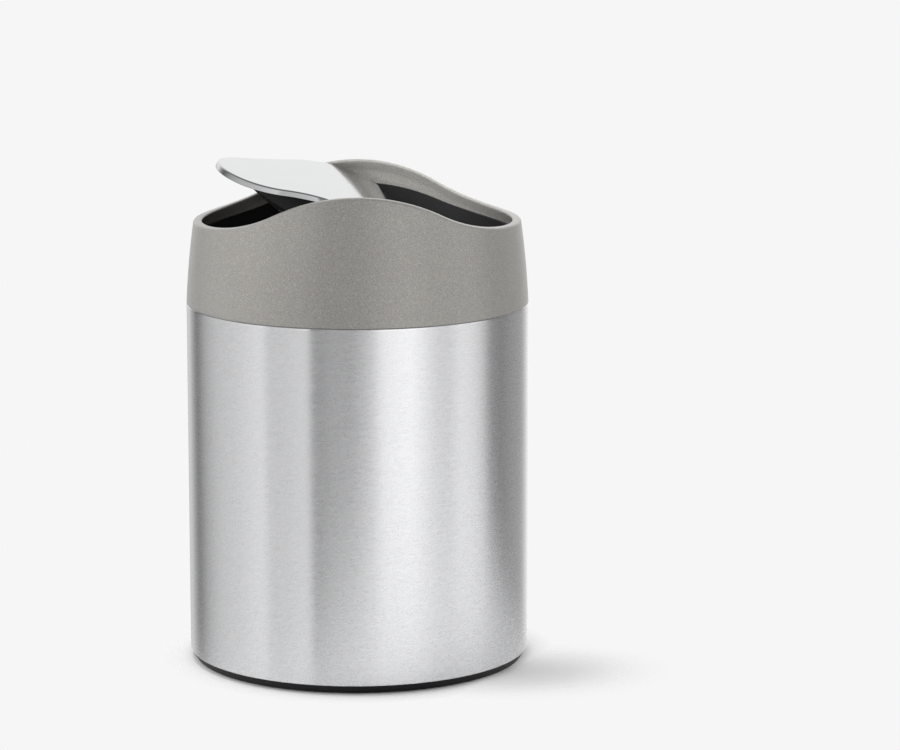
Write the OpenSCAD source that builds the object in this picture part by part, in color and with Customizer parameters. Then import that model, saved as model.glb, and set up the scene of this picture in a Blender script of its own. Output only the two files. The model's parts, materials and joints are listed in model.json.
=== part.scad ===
// Push top countertop bin: a steel can with a lift-off lid and a swing flap.
// Millimetres, +Z up, the front towards -Y. The origin is on the table, under the can's centre.
// The flap is drawn pushed down at the right; it pivots on a line from front to back.

/* [Can] */
// Outside diameter of the steel tube
can_d = 126; // [110:1:150]
// Length of the steel tube
can_h = 129.9; // [100:0.1:200]
// Thickness of the steel sheet
can_wall = 0.6; // [0.4:0.1:1]
// Width of the hem that is turned in at the top of the tube
hem_w = 2.2; // [1.8:0.1:2.8]
// Depth of the hem's turned-down lip
hem_h = 3.5; // [2:0.1:6]

/* [Base] */
// Height of the black band that shows under the tube
base_band_h = 3.3; // [2.8:0.1:6]
// How far the foot of the band lies inside the tube's outside
base_foot_inset = 1.9; // [1.5:0.1:5]
// Thickness of the base ring's upright wall
base_wall = 2; // [1.5:0.1:3]
// Height of the upright wall that plugs into the tube
base_plug_h = 4.7; // [4:0.1:10]
// Thickness of the base ring's web
base_web = 1.6; // [1.2:0.1:2.4]
// Width of the non-skid ring
pad_w = 5; // [3:0.5:8]
// Thickness of the non-skid ring
pad_t = 2; // [1.5:0.1:2.4]
// How far the non-skid ring stands below the base ring
pad_proud = 0.5; // [0.3:0.1:1]
// Thickness of the floor plate
floor_t = 0.6; // [0.4:0.1:1]
// Height of the floor plate's turned-up edge, with the plate
floor_edge_h = 4; // [2:0.5:8]
// Number of base screws
base_screw_n = 3; // [3:1:6]
// Distance of the base screws from the can's centre
base_screw_at = 30; // [15:1:40]

/* [Collar] */
// Thickness of the collar's wall
collar_wall = 2.4; // [2:0.1:3]
// Thickness of the band along the rim
rim_wall = 3.2; // [2.9:0.1:4]
// Height of the band along the rim
rim_band = 4.1; // [3:0.1:4.2]
// Height of the rim's crests above the tube
rim_crest_h = 45.7; // [43:0.1:55]
// Height of the rim's dips above the tube
rim_dip_h = 30.6; // [29:0.1:36]
// How far the lowest points of the dips lie inside the collar's outside
dip_inset = 3; // [0:0.5:8]
// Radius of the collar's barrel curve, seen from the side
barrel_r = 312; // [250:1:600]
// Inward lean of the collar where it meets the tube, in degrees
barrel_lean = 2.6; // [1:0.1:4]

/* [Liner] */
// Thickness of the liner's wall
liner_wall = 1.6; // [1.2:0.1:2]
// Drop from the rim's crests to the liner's upper edge
liner_crest_drop = 8.9; // [8:0.1:10]
// Drop from the rim's dips to the liner's upper edge
liner_dip_drop = 4.4; // [4.3:0.1:6]
// Thickness of the liner's flange
flange_t = 1.6; // [1.2:0.1:2.4]
// Step from the liner's upper edge in to its waist
waist_step = 4.6; // [4:0.1:6]
// Height over which the waist flares out to the upper wall
flare_h = 9.2; // [6:0.1:12]
// Depth of the skirt that plugs into the tube
skirt_h = 15; // [12:0.5:25]
// Height of the soft grip ring
grip_h = 4; // [2:0.5:6]
// Depth of the groove that holds the grip ring
grip_groove = 0.6; // [0.3:0.1:0.8]
// Number of lid screws
lid_screw_n = 4; // [3:1:6]
// Height of the collar's screw bosses
lid_boss_h = 7.8; // [6:0.1:9]

/* [Flap] */
// Gap between the flap's edge and the liner
flap_gap = 1.8; // [1.5:0.1:3]
// Drop from the rim's crests to the top of the closed flap
flap_sink = 5.6; // [5:0.1:8]
// Radius of the flap's raised middle, seen from the front
flap_crest_r = 68.7; // [60:0.1:90]
// Distance from the middle to where the flap's curve turns
flap_turn = 27.5; // [20:0.5:30]
// Radius of the flap's hollow sides, seen from the front
flap_dip_r = 99.2; // [85:0.1:140]
// Thickness of the flap cover
cover_t = 1.2; // [0.8:0.1:1.4]
// Height of the flap cover's turned-down edge
edge_h = 2.4; // [1.6:0.1:3]
// Half width of the notch in that edge, round each bearing
edge_notch = 6.5; // [6:0.1:7]
// Distance from the cover's edge to the tray's wall
tray_inset = 8; // [7:0.5:10]
// Thickness of the tray
tray_t = 1.6; // [1.2:0.1:2]
// Height of the closed flap, from its top to the tray's lowest point
flap_depth = 21; // [19:0.1:24]
// Radius of the tray's rounded underside
dish_r = 134; // [120:1:160]

/* [Pivot] */
// Drop from the closed flap's top to the pivot
pivot_drop = 5; // [4.8:0.1:6]
// Tilt of the flap as it is drawn, right side down, in degrees
rest_tilt = 27.3; // [0:0.1:50]
// Tilt at which the flap meets its stop pads, in degrees
max_tilt = 55; // [45:1:60]
// Diameter of the pivot pins
pin_d = 3; // [2.5:0.1:3.2]
// Wall of the pivot bushes
bush_wall = 0.95; // [0.7:0.05:1]
// Wall of the bearing bosses, outside the bushes
bearing_wall = 0.85; // [0.7:0.05:0.9]
// Thickness of the stop pads
stop_t = 1.2; // [0.8:0.1:1.5]
// Diameter of the pin clips
clip_d = 6.4; // [5.4:0.1:6.6]
// Thickness of the pin clips
clip_t = 0.5; // [0.4:0.1:1]

/* [Counterweight] */
// Size of the counterweight from left to right
weight_x = 24; // [16:1:30]
// Size of the counterweight from front to back
weight_y = 44; // [36:1:48]
// Thickness of the counterweight
weight_t = 5; // [3:0.5:7]
// Thickness of the pad under the counterweight
rattle_t = 0.5; // [0.3:0.1:1]
// Distance between the two weight screws
weight_screw_pitch = 32; // [24:1:34]

/* [Screws] */
// Diameter of the screws
screw_d = 2.2; // [2:0.1:2.6]
// Diameter of the screw heads
head_d = 4.2; // [3.8:0.1:4.6]
// Height of the screw heads
head_h = 1.3; // [1:0.1:1.6]

/* [Fits] */
// Gap round a piece that is pushed into another
push_fit = 0.05; // [0.02:0.01:0.1]
// Gap between a pivot pin and its bush
running_fit = 0.05; // [0.02:0.01:0.1]
// Gap between pieces that must not rub
free_gap = 0.3; // [0.2:0.05:0.4]
// Gap round a part that plugs in by hand
plug_gap = 0.25; // [0.2:0.05:0.4]

/* [Hidden] */
$fn = 96;
eps = 0.01;

// Heights from the table up
tube_z = base_band_h;
seam_z = tube_z + can_h;
crest_z = seam_z + rim_crest_h;
dip_z = seam_z + rim_dip_h;
floor_z = tube_z + base_plug_h;
web_z = pad_t + base_web / 2;

// The tube and the base
can_r = can_d / 2;
tube_in_r = can_r - can_wall;
hem_r = can_r - hem_w;
plug_r = tube_in_r - push_fit;
shoulder_r = can_r - can_wall / 6;
pad_out_r = can_r - base_foot_inset - base_wall;
pad_in_r = pad_out_r - pad_w;

// The barrel curve of the collar is a circle whose centre lies below the seam and across the axis
barrel_z = seam_z - barrel_r * sin(barrel_lean);
barrel_x = can_r - barrel_r * cos(barrel_lean);

// Radius at a height of the barrel that lies inside the collar's outside by an inset
function barrel_at(inset, z) = barrel_x + sqrt(pow(barrel_r - inset, 2) - pow(z - barrel_z, 2));

// Radius of two equal arcs that fall by a height over a distance
function arc_pair_r(across, fall) = (pow(across, 2) + pow(fall, 2)) / (4 * fall);

// Drop of a wave below its crest: an arc over the crest, then an arc through the dip
function wave_drop(x, crest_r, turn_x, dip_r) =
    let (turn_drop = crest_r - sqrt(pow(crest_r, 2) - pow(turn_x, 2)))
    let (turn_sin = turn_x / crest_r)
    let (here_sin = turn_sin - (abs(x) - turn_x) / dip_r)
    abs(x) < turn_x
        ? crest_r - sqrt(pow(crest_r, 2) - pow(x, 2))
        : turn_drop + dip_r * (sqrt(1 - pow(here_sin, 2)) - sqrt(1 - pow(turn_sin, 2)));

// Half the number of flats along a wave
wave_n = 24;

// The liner
liner_crest_z = crest_z - liner_crest_drop;
liner_dip_z = dip_z - liner_dip_drop;
liner_out_inset = collar_wall + free_gap;
liner_in_inset = liner_out_inset + liner_wall;
liner_out_r = barrel_at(liner_out_inset, liner_crest_z);
liner_in_r = barrel_at(liner_in_inset, liner_crest_z);
waist_out_r = liner_out_r - waist_step;
waist_in_r = waist_out_r - liner_wall;
flange_z = seam_z + free_gap;
flange_r = can_r - collar_wall - plug_gap;
boss_z = flange_z + flange_t;
boss_top_z = boss_z + lid_boss_h;
waist_z = boss_top_z + free_gap;
flare_z = waist_z + flare_h;
grip_r = hem_r - plug_gap;
skirt_r = grip_r - grip_groove - free_gap;
skirt_in_r = skirt_r - liner_wall;
grip_z = seam_z - hem_h / 2 - grip_h;
boss_r = head_d / 2 + 0.5;
lid_screw_at = waist_out_r + free_gap + boss_r;

// The flap, closed
flap_r = liner_in_r - flap_gap;
flap_z = crest_z - flap_sink;
pivot_z = flap_z - pivot_drop;
tray_r = flap_r - tray_inset;
dish_z = flap_z - flap_depth + dish_r;
edge_in_r = flap_r - cover_t;

// The bearings
pin_r = pin_d / 2;
bush_in_r = pin_r + running_fit;
bush_r = bush_in_r + bush_wall;
bearing_r = bush_r + push_fit + bearing_wall;
bearing_y = tray_r + 4 * free_gap;
pin_out_y = liner_out_r - free_gap;
pin_boss_l = 6;
clip_y = tray_r - pin_boss_l;
pin_in_y = clip_y - 2 * clip_t;

// The stops: the flap's edge, turned by the largest tilt, lies along the pads
stop_reach = edge_notch + 2;
stop_slope = max_tilt + asin(stop_reach / flap_crest_r);
edge_at_z = pivot_drop - edge_h - wave_drop(stop_reach, flap_crest_r, flap_turn, flap_dip_r);
stop_x = stop_reach * cos(max_tilt) + edge_at_z * sin(max_tilt);
stop_z = edge_at_z * cos(max_tilt) - stop_reach * sin(max_tilt);
stop_skin = 0.1;
stop_l = 4;
pedestal_h = 12;

// The screws inside the flap
post_at = flap_turn - 3.5;
post_z = flap_z - flap_depth + 7.7;
post_r = head_d / 2 + 0.5;
seat_t = 1.8;
weight_seat_z = flap_z - flap_depth + 4.3;
weight_z = weight_seat_z + rattle_t;

// Region under a wave, seen from the front, down to a floor height
module wave_shape(crest, crest_r, turn_x, dip_r, half, low) {
    polygon(concat(
        [for (i = [-wave_n : wave_n])
            [half * i / wave_n, crest - wave_drop(half * i / wave_n, crest_r, turn_x, dip_r)]],
        [[half, low], [-half, low]]
    ));
}

// Solid under a wave that runs from front to back
module wave_block(crest, crest_r, turn_x, dip_r, half, low) {
    rotate([90, 0, 0])
        linear_extrude(height = 2 * half, center = true)
            wave_shape(crest, crest_r, turn_x, dip_r, half, low);
}

// Solid under the lid's rim or an edge parallel to it
module under_rim(crest, dip) {
    across = can_r - dip_inset;
    arc_r = arc_pair_r(across, crest - dip);
    wave_block(crest, arc_r, across / 2, arc_r, can_r + 1, seam_z - skirt_h - 1);
}

// Solid under the closed flap's top, lowered by a drop
module under_flap(drop) {
    wave_block(flap_z - drop, flap_crest_r, flap_turn, flap_dip_r, flap_r + 1, flap_z - 2 * flap_depth);
}

// Half outline of the barrel, inset from the collar's outside, from a height up
module barrel_shape(inset, low) {
    intersection() {
        translate([barrel_x, barrel_z])
            circle(r = barrel_r - inset, $fn = 720);
        translate([0, low])
            square([can_r, crest_z + 1 - low]);
    }
}

// Barrel-shaped solid, inset from the collar's outside
module barrel(inset) {
    rotate_extrude()
        barrel_shape(inset, seam_z);
}

// Flat ring
module ring(outer_r, inner_r, low, high) {
    translate([0, 0, low])
        difference() {
            cylinder(r = outer_r, h = high - low);
            translate([0, 0, -eps])
                cylinder(r = inner_r, h = high - low + 2 * eps);
        }
}

// Turns the closed flap to the tilt at which it is drawn
module at_rest_tilt() {
    translate([0, 0, pivot_z])
        rotate([0, rest_tilt, 0])
            translate([0, 0, -pivot_z])
                children();
}

// Places a thing that is drawn at the front, at the front (1) or at the rear (-1)
module at_side(side) {
    rotate([0, 0, side > 0 ? 0 : 180])
        children();
}

// Cylinder along the pivot line at the front, between two distances from the middle
module pivot_rod(r, near, far) {
    translate([0, -near, pivot_z])
        rotate([90, 0, 0])
            cylinder(r = r, h = far - near);
}

// Screw that points up, its head's upper face at the origin
module screw_up(length) {
    slot_w = screw_d / 4;
    difference() {
        union() {
            translate([0, 0, -head_h])
                cylinder(d = head_d, h = head_h);
            cylinder(d = screw_d, h = length);
        }
        for (turn = [0, 90])
            rotate([0, 0, turn])
                translate([-screw_d / 2, -slot_w / 2, -head_h - eps])
                    cube([screw_d, slot_w, head_h / 2 + eps]);
    }
}

// Steel tube with its top edge turned in and down
module body_shell() {
    color("silver")
        rotate_extrude()
            polygon([
                [tube_in_r, tube_z],
                [can_r, tube_z],
                [can_r, seam_z],
                [hem_r, seam_z],
                [hem_r, seam_z - hem_h],
                [hem_r + can_wall, seam_z - hem_h],
                [hem_r + can_wall, seam_z - can_wall],
                [tube_in_r, seam_z - can_wall]
            ]);
}

// Steel plate with a turned-up edge, on top of the base ring's wall
module floor_plate() {
    color("gainsboro")
        difference() {
            translate([0, 0, floor_z])
                cylinder(r = plug_r, h = floor_edge_h);
            translate([0, 0, floor_z + floor_t])
                cylinder(r = plug_r - floor_t, h = floor_edge_h);
            base_screw_places(floor_z - eps)
                cylinder(d = screw_d + 2 * push_fit, h = floor_t + 2 * eps);
        }
}

module base_screw_places(z) {
    for (i = [0 : base_screw_n - 1])
        rotate([0, 0, 90 + i * 360 / base_screw_n])
            translate([base_screw_at, 0, z])
                children();
}

// Black base: the band that shows, the wall that plugs into the tube, and a web with screw bosses
module base_ring() {
    color("#202021")
        difference() {
            union() {
                rotate_extrude()
                    polygon([
                        [0, web_z],
                        [pad_in_r - base_wall, web_z],
                        [pad_in_r - base_wall, pad_proud],
                        [pad_in_r, pad_proud],
                        [pad_in_r, pad_t],
                        [pad_out_r, pad_t],
                        [pad_out_r, pad_proud],
                        [can_r - base_foot_inset, pad_proud],
                        [shoulder_r, tube_z],
                        [plug_r, tube_z],
                        [plug_r, floor_z],
                        [plug_r - base_wall, floor_z],
                        [plug_r - base_wall, web_z + base_web],
                        [0, web_z + base_web]
                    ]);
                base_screw_places(web_z + base_web - eps)
                    cylinder(r = head_d / 2 + base_wall, h = floor_z - web_z - base_web + eps);
            }
            base_screw_places(web_z - eps) {
                cylinder(d = screw_d + 2 * push_fit, h = floor_z);
                cylinder(d = head_d + 2 * free_gap, h = head_h + eps);
            }
        }
}

module base_screws() {
    color("dimgray")
        base_screw_places(web_z + head_h)
            screw_up(floor_z + floor_t + 2 - web_z - head_h);
}

module non_skid_ring() {
    color("#303030")
        ring(pad_out_r - push_fit, pad_in_r + push_fit, 0, pad_t);
}

module lid_screw_places(z) {
    for (i = [0 : lid_screw_n - 1])
        rotate([0, 0, (i + 0.5) * 360 / lid_screw_n])
            translate([lid_screw_at, 0, z])
                children();
}

// Taupe shell of the lid with its wavy rim, and the bosses that its screws go up into
module collar() {
    color("#9c9890") {
        difference() {
            intersection() {
                barrel(0);
                under_rim(crest_z, dip_z);
            }
            barrel(rim_wall);
            intersection() {
                barrel(collar_wall);
                under_rim(crest_z - rim_band, dip_z - rim_band);
            }
            translate([0, 0, seam_z - eps])
                cylinder(r = can_r - collar_wall, h = 2 * eps);
        }
        intersection() {
            lid_screw_places(boss_z)
                difference() {
                    union() {
                        cylinder(r = boss_r, h = lid_boss_h);
                        translate([0, -liner_wall / 2, 0])
                            cube([can_r, liner_wall, lid_boss_h]);
                    }
                    translate([0, 0, -eps])
                        cylinder(d = screw_d + 2 * push_fit, h = lid_boss_h - 1);
                }
            barrel(collar_wall - 0.5);
        }
    }
}

// Wall, pedestal and boss of one bearing, at the front
module bearing_shape() {
    side_x = stop_x - (stop_t + stop_skin) * sin(stop_slope);
    side_z = stop_z - (stop_t + stop_skin) * cos(stop_slope);
    top_x = side_x + side_z / tan(stop_slope);
    foot_x = top_x + pedestal_h / tan(stop_slope);
    intersection() {
        union() {
            pivot_rod(bearing_r, bearing_y, can_r);
            translate([0, -bearing_y, pivot_z])
                rotate([90, 0, 0])
                    linear_extrude(height = can_r - bearing_y)
                        polygon([[top_x, 0], [foot_x, -pedestal_h], [-foot_x, -pedestal_h], [-top_x, 0]]);
        }
        barrel(liner_out_inset);
    }
}

// Black liner: upper wall, waist, flange and skirt, with the two bearings
module collar_liner() {
    color("#262628")
        difference() {
            union() {
                rotate_extrude()
                    polygon([
                        [skirt_in_r, seam_z - skirt_h],
                        [skirt_r, seam_z - skirt_h],
                        [skirt_r, grip_z - free_gap],
                        [skirt_r + free_gap, grip_z - free_gap],
                        [skirt_r + free_gap + grip_groove, grip_z],
                        [skirt_r + free_gap, grip_z],
                        [skirt_r + free_gap, grip_z + grip_h],
                        [skirt_r + free_gap + grip_groove, grip_z + grip_h],
                        [skirt_r + free_gap + grip_groove, flange_z],
                        [flange_r, flange_z],
                        [flange_r, boss_z],
                        [waist_out_r, boss_z],
                        [waist_out_r, waist_z],
                        [barrel_at(liner_out_inset, flare_z), flare_z],
                        [barrel_at(liner_in_inset, flare_z), flare_z],
                        [waist_in_r, waist_z],
                        [waist_in_r, flange_z],
                        [skirt_in_r, flange_z]
                    ]);
                intersection() {
                    rotate_extrude()
                        difference() {
                            barrel_shape(liner_out_inset, flare_z);
                            barrel_shape(liner_in_inset, flare_z - 1);
                        }
                    under_rim(liner_crest_z, liner_dip_z);
                }
                for (side = [1, -1])
                    at_side(side)
                        bearing_shape();
            }
            for (side = [1, -1])
                at_side(side)
                    pivot_rod(bush_r + push_fit, bearing_y - 1, can_r);
            lid_screw_places(flange_z - eps)
                cylinder(d = screw_d + 2 * push_fit, h = flange_t + 2 * eps);
        }
}

module lid_screws() {
    color("dimgray")
        lid_screw_places(flange_z)
            screw_up(flange_t + lid_boss_h - 2);
}

module grip_ring() {
    color("#3a3a3c")
        ring(grip_r, skirt_r + free_gap + push_fit, grip_z, grip_z + grip_h);
}

module pivot_bush() {
    color("ivory")
        difference() {
            pivot_rod(bush_r, bearing_y, liner_out_r);
            pivot_rod(bush_in_r, bearing_y - 1, liner_out_r + 1);
        }
}

module pivot_bush_front() {
    at_side(1)
        pivot_bush();
}

module pivot_bush_rear() {
    at_side(-1)
        pivot_bush();
}

// Pair of soft pads on the pedestal's sides, at the front
module stop_pads() {
    color("#4a4a4a")
        for (hand = [0, 1])
            mirror([hand, 0, 0])
                translate([stop_x, 0, pivot_z + stop_z])
                    rotate([0, stop_slope, 0])
                        translate([-stop_l / 2, -(edge_in_r + cover_t), -stop_t - stop_skin])
                            cube([stop_l, edge_in_r + cover_t - bearing_y - free_gap, stop_t]);
}

module stop_pads_front() {
    at_side(1)
        stop_pads();
}

module stop_pads_rear() {
    at_side(-1)
        stop_pads();
}

module post_places(z) {
    for (x = [-1, 1], y = [-1, 1])
        translate([x * post_at, y * post_at, z])
            children();
}

// Polished wave with a turned-down edge, and four posts for the tray's screws
module flap_cover() {
    color("#e8e8ea")
        at_rest_tilt() {
            difference() {
                intersection() {
                    under_flap(0);
                    cylinder(r = flap_r, h = crest_z);
                }
                under_flap(edge_h);
                intersection() {
                    under_flap(cover_t);
                    union() {
                        cylinder(r = edge_in_r, h = crest_z);
                        translate([-edge_notch, -can_r, 0])
                            cube([2 * edge_notch, can_d, crest_z]);
                    }
                }
            }
            difference() {
                intersection() {
                    under_flap(cover_t / 2);
                    post_places(post_z)
                        cylinder(r = post_r, h = flap_depth);
                }
                post_places(post_z - eps)
                    cylinder(d = screw_d + 2 * push_fit, h = post_r + seat_t);
            }
        }
}

// Inside of the tray, above its rounded floor
module tray_room(inset) {
    intersection() {
        translate([0, 0, dish_z])
            sphere(r = dish_r - inset, $fn = 360);
        cylinder(r = tray_r - inset, h = crest_z);
    }
}

// Dark tray under the cover: rounded floor, round wall, pin bosses, screw seats and weight seat
module flap_tray() {
    color("#2b2b2d")
        at_rest_tilt()
            difference() {
                intersection() {
                    union() {
                        difference() {
                            tray_room(0);
                            tray_room(tray_t);
                        }
                        intersection() {
                            tray_room(tray_t / 2);
                            union() {
                                post_places(0)
                                    cylinder(r = post_r + seat_t / 2, h = post_z);
                                translate([-weight_x / 2 - 1, -weight_y / 2 - 1, 0])
                                    cube([weight_x + 2, weight_y + 2, weight_seat_z]);
                                for (side = [1, -1])
                                    at_side(side)
                                        pivot_rod(clip_d / 2, clip_y, tray_r);
                            }
                        }
                    }
                    under_flap(cover_t);
                }
                for (side = [1, -1])
                    at_side(side)
                        pivot_rod(pin_r + push_fit, clip_y - 1, tray_r + 1);
                post_places(0)
                    cylinder(d = screw_d + 2 * push_fit, h = post_z + 1);
                post_places(0)
                    cylinder(d = head_d + 2 * free_gap, h = post_z - seat_t);
                weight_screw_places(weight_z - weight_t)
                    cylinder(d = screw_d + 2 * push_fit, h = weight_t);
            }
}

module tray_screws() {
    color("dimgray")
        at_rest_tilt()
            post_places(post_z - seat_t)
                screw_up(seat_t + post_r + seat_t - 1);
}

module weight_screw_places(z) {
    for (y = [-1, 1])
        translate([0, y * weight_screw_pitch / 2, z])
            children();
}

module flap_weight() {
    color("slategray")
        at_rest_tilt()
            difference() {
                translate([-weight_x / 2, -weight_y / 2, weight_z])
                    cube([weight_x, weight_y, weight_t]);
                weight_screw_places(weight_z - eps)
                    cylinder(d = screw_d + 2 * push_fit, h = weight_t + 2 * eps);
            }
}

module rattle_pad() {
    color("#505050")
        at_rest_tilt()
            difference() {
                translate([-weight_x / 2, -weight_y / 2, weight_seat_z])
                    cube([weight_x, weight_y, rattle_t]);
                weight_screw_places(weight_seat_z - eps)
                    cylinder(d = screw_d + 2 * push_fit, h = rattle_t + 2 * eps);
            }
}

module weight_screws() {
    color("dimgray")
        at_rest_tilt()
            weight_screw_places(weight_z + weight_t)
                rotate([180, 0, 0])
                    screw_up(weight_t + rattle_t + 1.5);
}

module pivot_pin() {
    color("silver")
        pivot_rod(pin_r, pin_in_y, pin_out_y);
}

module pivot_pin_front() {
    at_side(1)
        pivot_pin();
}

module pivot_pin_rear() {
    at_side(-1)
        pivot_pin();
}

// Push-on clips at the pins' inner ends
module pin_clips() {
    color("gray")
        for (side = [1, -1])
            at_side(side)
                difference() {
                    pivot_rod(clip_d / 2, clip_y - clip_t, clip_y);
                    pivot_rod(pin_r + push_fit, clip_y - 2 * clip_t, clip_y + clip_t);
                }
}

body_shell();
floor_plate();
base_ring();
base_screws();
non_skid_ring();
collar();
collar_liner();
lid_screws();
grip_ring();
pivot_bush_front();
pivot_bush_rear();
stop_pads_front();
stop_pads_rear();
flap_cover();
flap_tray();
tray_screws();
flap_weight();
rattle_pad();
weight_screws();
pivot_pin_front();
pivot_pin_rear();
pin_clips();
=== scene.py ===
# %% [markdown]
# A push top countertop bin, dressed for its picture.
#
# The solid model comes first and is finished: a steel can, a lid with a wavy collar, and a flap that
# swings in the lid. This lesson adds what the solids don't have. The shapes that show most are built
# again with rounded edges and many faces, every piece gets a finish, and a small studio lights it all.
#
# The first cell brings the imported model in. Every piece arrives in metres, already in its place, with
# +Z up and the front of the bin towards -Y.

import json
import math

import bmesh
import bpy
from mathutils import Matrix, Vector


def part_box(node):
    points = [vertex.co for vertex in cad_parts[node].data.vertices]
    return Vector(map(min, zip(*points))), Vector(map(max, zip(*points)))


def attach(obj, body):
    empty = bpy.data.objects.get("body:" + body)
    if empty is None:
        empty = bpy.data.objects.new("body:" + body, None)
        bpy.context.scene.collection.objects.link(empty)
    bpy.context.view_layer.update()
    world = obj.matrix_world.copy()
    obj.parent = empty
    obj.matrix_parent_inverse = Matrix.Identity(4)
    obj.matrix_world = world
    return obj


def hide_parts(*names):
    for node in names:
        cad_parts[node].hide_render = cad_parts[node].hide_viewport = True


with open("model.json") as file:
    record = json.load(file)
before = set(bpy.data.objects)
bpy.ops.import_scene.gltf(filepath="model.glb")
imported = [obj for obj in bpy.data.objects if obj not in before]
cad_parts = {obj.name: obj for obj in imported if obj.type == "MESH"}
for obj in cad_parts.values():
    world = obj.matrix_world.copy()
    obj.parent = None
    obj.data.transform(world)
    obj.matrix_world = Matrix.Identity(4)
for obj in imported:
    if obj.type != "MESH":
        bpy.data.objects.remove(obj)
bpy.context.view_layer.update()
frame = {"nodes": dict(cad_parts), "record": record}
nodes = frame["nodes"]
print("pieces in the packed model:", len(nodes))

# %% [markdown]
# The lid, the can and the flap follow a few curves, and the new meshes follow the same ones. The sizes
# below are the ones that the solid model was drawn with, in millimetres. Where a size can be read from
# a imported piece's box it is read from there, so that the mesh stays on its solid.

# %% Sizes of the bin, in millimetres
MM = 0.001


def box_mm(name):
    """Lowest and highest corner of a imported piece, in millimetres."""
    low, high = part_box(name)
    return low / MM, high / MM


can_low, can_high = box_mm("body_shell")
can_r = can_high.x
tube_z = can_low.z
seam_z = can_high.z
crest_z = box_mm("collar")[1].z
can_wall = 0.6
hem_w = 2.2
hem_h = 3.5
collar_wall = 2.4
rim_wall = 3.2
rim_band = 4.1
rim_dip_h = 30.6
dip_inset = 3.0
barrel_r = 312.0
barrel_lean = math.radians(2.6)
liner_wall = 1.6
liner_crest_drop = 8.9
flange_t = 1.6
waist_step = 4.6
lid_boss_h = 7.8
free_gap = 0.3
flap_gap = 1.8
flap_sink = 5.6
flap_crest_r = 68.7
flap_turn = 27.5
flap_dip_r = 99.2
flap_depth = 21.0
cover_t = 1.2
edge_h = 2.4
edge_notch = 6.5
pivot_drop = 5.0
rest_tilt = math.radians(27.3)
dip_z = seam_z + rim_dip_h
flap_z = crest_z - flap_sink
pivot_z = flap_z - pivot_drop
print("can radius", round(can_r, 2), "seam", round(seam_z, 2), "crest", round(crest_z, 2))

# %% [markdown]
# From the side the collar is a barrel: its wall is part of one large circle. From the front its rim is
# a wave: an arc over the crest runs on into an arc through each dip. The flap is the same kind of wave.
# Written as a few small functions, the curves serve every mesh below.

# %% The barrel and the waves
barrel_z = seam_z - barrel_r * math.sin(barrel_lean)
barrel_x = can_r - barrel_r * math.cos(barrel_lean)


def barrel_at(inset, z):
    """Radius of the barrel at a height, measured an inset inside the collar's outside."""
    return barrel_x + math.sqrt((barrel_r - inset) ** 2 - (z - barrel_z) ** 2)


def wave_drop(x, crest_r, turn_x, dip_r):
    """How far a wave has fallen below its crest at a distance from the middle."""
    x = abs(x)
    if x < turn_x:
        return crest_r - math.sqrt(crest_r**2 - x**2)
    turn_sin = turn_x / crest_r
    here_sin = turn_sin - (x - turn_x) / dip_r
    turn_drop = crest_r - math.sqrt(crest_r**2 - turn_x**2)
    return turn_drop + dip_r * (math.sqrt(1 - here_sin**2) - math.sqrt(1 - turn_sin**2))


def rim_at(x):
    """Height of the collar's rim at a distance from the middle."""
    reach, fall = can_r - dip_inset, crest_z - dip_z
    arc_r = (reach**2 + fall**2) / (4 * fall)
    return crest_z - wave_drop(x, arc_r, reach / 2, arc_r)


def flap_at(x):
    """Height of the closed flap's top at a distance from the middle."""
    return flap_z - wave_drop(x, flap_crest_r, flap_turn, flap_dip_r)


liner_in_r = barrel_at(collar_wall + free_gap + liner_wall, crest_z - liner_crest_drop)
flap_r = liner_in_r - flap_gap
print("rim over the crest and the dip:", round(rim_at(0), 2), round(rim_at(can_r - dip_inset), 2))
print("flap radius", round(flap_r, 2))

# %% [markdown]
# The picture was taken from 1.3 metres in front of the bin and a little above it, through a long lens,
# so that the sides of the can stay almost parallel. The camera stands in that place. It is aimed a
# little to the right of the bin, which puts the bin left of the middle of the picture.

# %% The camera
PICTURE_WIDTH = 900
FOCAL_IN_PIXELS = 3618
SENSOR_MM = 36
CAMERA_AT = (0, -1.3186, 0.347)
DEGREES_DOWN = 10.39
DEGREES_RIGHT = 1.48

camera_data = bpy.data.cameras.new("camera")
camera_data.sensor_width = SENSOR_MM
camera_data.lens = SENSOR_MM * FOCAL_IN_PIXELS / PICTURE_WIDTH
camera = bpy.data.objects.new("camera", camera_data)
bpy.context.scene.collection.objects.link(camera)
camera.location = CAMERA_AT
camera.rotation_euler = (math.radians(90 - DEGREES_DOWN), 0, -math.radians(DEGREES_RIGHT))
bpy.context.scene.camera = camera
print("lens", round(camera_data.lens, 1), "mm")

# %% [markdown]
# Finishes are written as expressions. A small class wraps one output of a shader node, so that
# 1 - mask or grain * 0.2 + 0.4 adds the Math nodes by itself.

# %% A wire
class Wire:
    """One output of a shader node, which can be used in sums."""

    def __init__(self, net, socket):
        self.net, self.socket = net, socket

    def __add__(self, other):
        return self.net.math("ADD", self, other)

    def __sub__(self, other):
        return self.net.math("SUBTRACT", self, other)

    def __rsub__(self, other):
        return self.net.math("SUBTRACT", other, self)

    def __mul__(self, other):
        return self.net.math("MULTIPLY", self, other)

    def __truediv__(self, other):
        return self.net.math("DIVIDE", self, other)

    def __rtruediv__(self, other):
        return self.net.math("DIVIDE", other, self)

    __radd__ = __add__
    __rmul__ = __mul__


# %% [markdown]
# Everything else comes from one method of a net of nodes. It makes a node of any type, applies its
# settings first, and then fills its sockets with wires or with plain values. A plain colour is three
# numbers. The short methods after it make the few nodes that are needed again and again.

# %% A net of nodes
def grey(level):
    """A colour with the same amount of red, green and blue."""
    return (level, level, level)


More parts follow.
